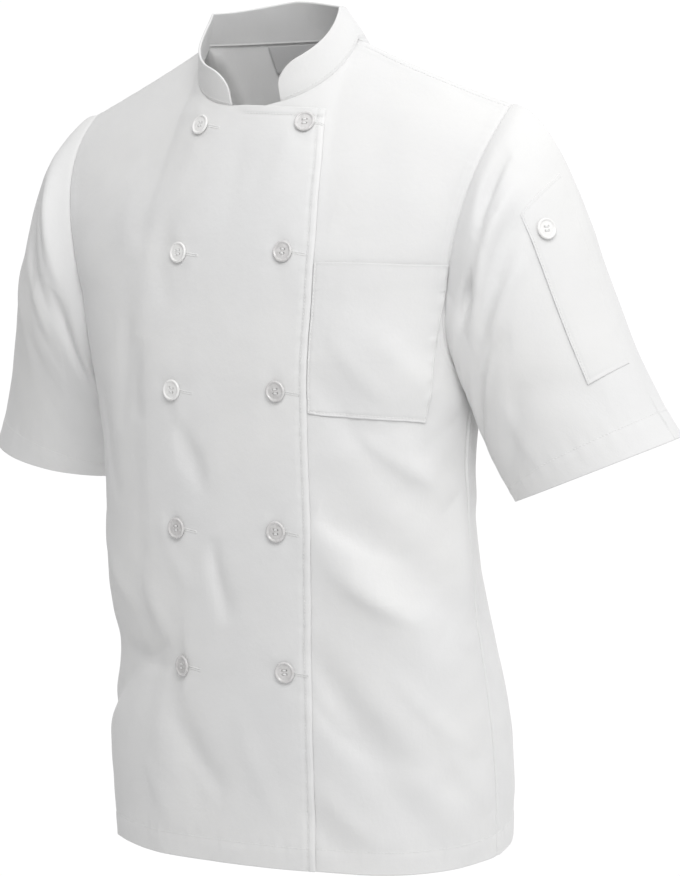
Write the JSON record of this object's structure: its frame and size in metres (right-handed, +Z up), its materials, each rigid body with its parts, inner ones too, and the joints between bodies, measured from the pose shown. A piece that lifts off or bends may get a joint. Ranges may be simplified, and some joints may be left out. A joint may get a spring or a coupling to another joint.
{
  "type": "short-sleeved chef jacket",
  "caption": "Worn-shape short-sleeved chef jacket: double-breasted front, stand collar, chest and sleeve pockets, round buttons, open neck, cuffs and hem.",
  "frame": {"origin": "middle of the neck opening, level with the side neck points, where the coat rests on the wearer's neck and shoulders", "axes": "+Z up, the front faces -Y, the wearer's left is +X"},
  "size_m": [0.7328, 0.2902, 0.781],
  "materials": {
    "cloth": "matte white twill",
    "button": "pearly white",
    "label": "black woven, bare"
  },
  "bodies": {
    "root": {"front_right": "cloth", "front_left": "cloth", "back": "cloth", "sleeve_right": "cloth", "sleeve_left": "cloth", "collar": "cloth", "chest_pocket": "cloth", "sleeve_pocket": "cloth", "neck_label": "label", "button_right_1": "button", "button_right_2": "button", "button_right_3": "button", "button_right_4": "button", "button_right_5": "button", "button_left_1": "button", "button_left_2": "button", "button_left_3": "button", "button_left_4": "button", "button_left_5": "button", "button_sleeve": "button"}
  },
  "joints": []
}
